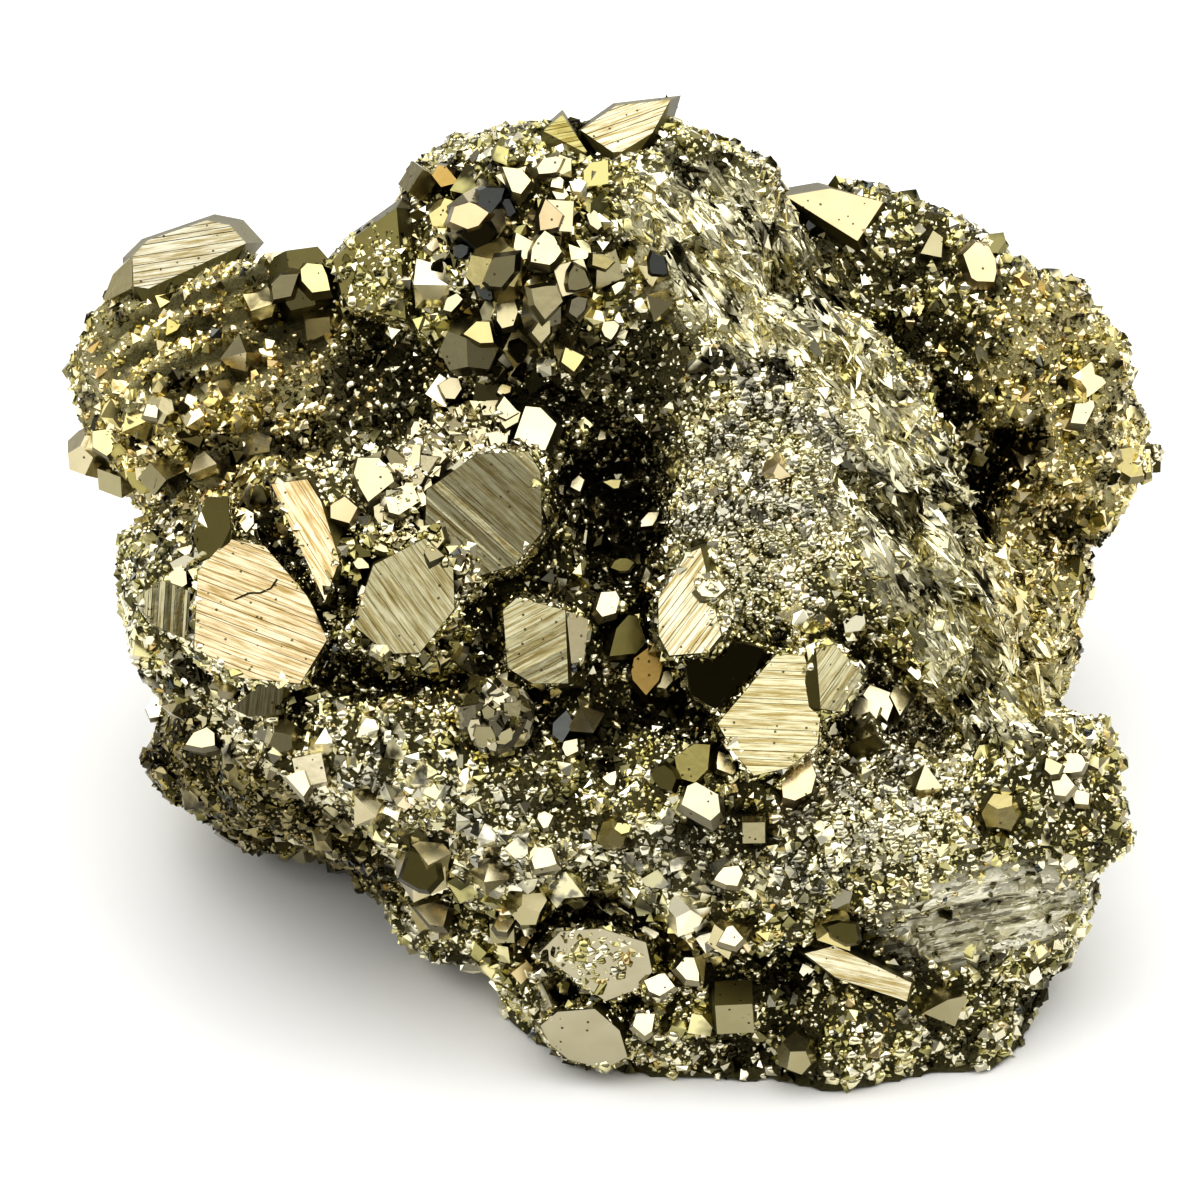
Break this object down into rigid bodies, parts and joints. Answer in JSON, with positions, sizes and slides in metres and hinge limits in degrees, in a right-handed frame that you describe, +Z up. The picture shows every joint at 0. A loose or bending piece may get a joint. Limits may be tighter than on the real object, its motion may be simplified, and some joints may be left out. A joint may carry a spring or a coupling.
{
  "type": "pyrite specimen",
  "caption": "Free-standing pyrite specimen: a lumpy granular mass of intergrown brassy crystals with large striated flat faces, a small cavity and a flat broken underside that it rests on.",
  "frame": {"origin": "under the middle of the specimen's box, in the plane of its flat underside", "axes": "+X along the specimen's width as displayed, +Y from the display face towards the back, +Z up"},
  "size_m": [0.0716, 0.0556, 0.0487],
  "materials": {
    "pyrite": "pale brassy metallic lustre: mirror-like crystal faces, some finely ribbed, in a sparkling granular ground"
  },
  "bodies": {
    "root": {"pyrite_cluster": "pyrite"}
  },
  "joints": []
}
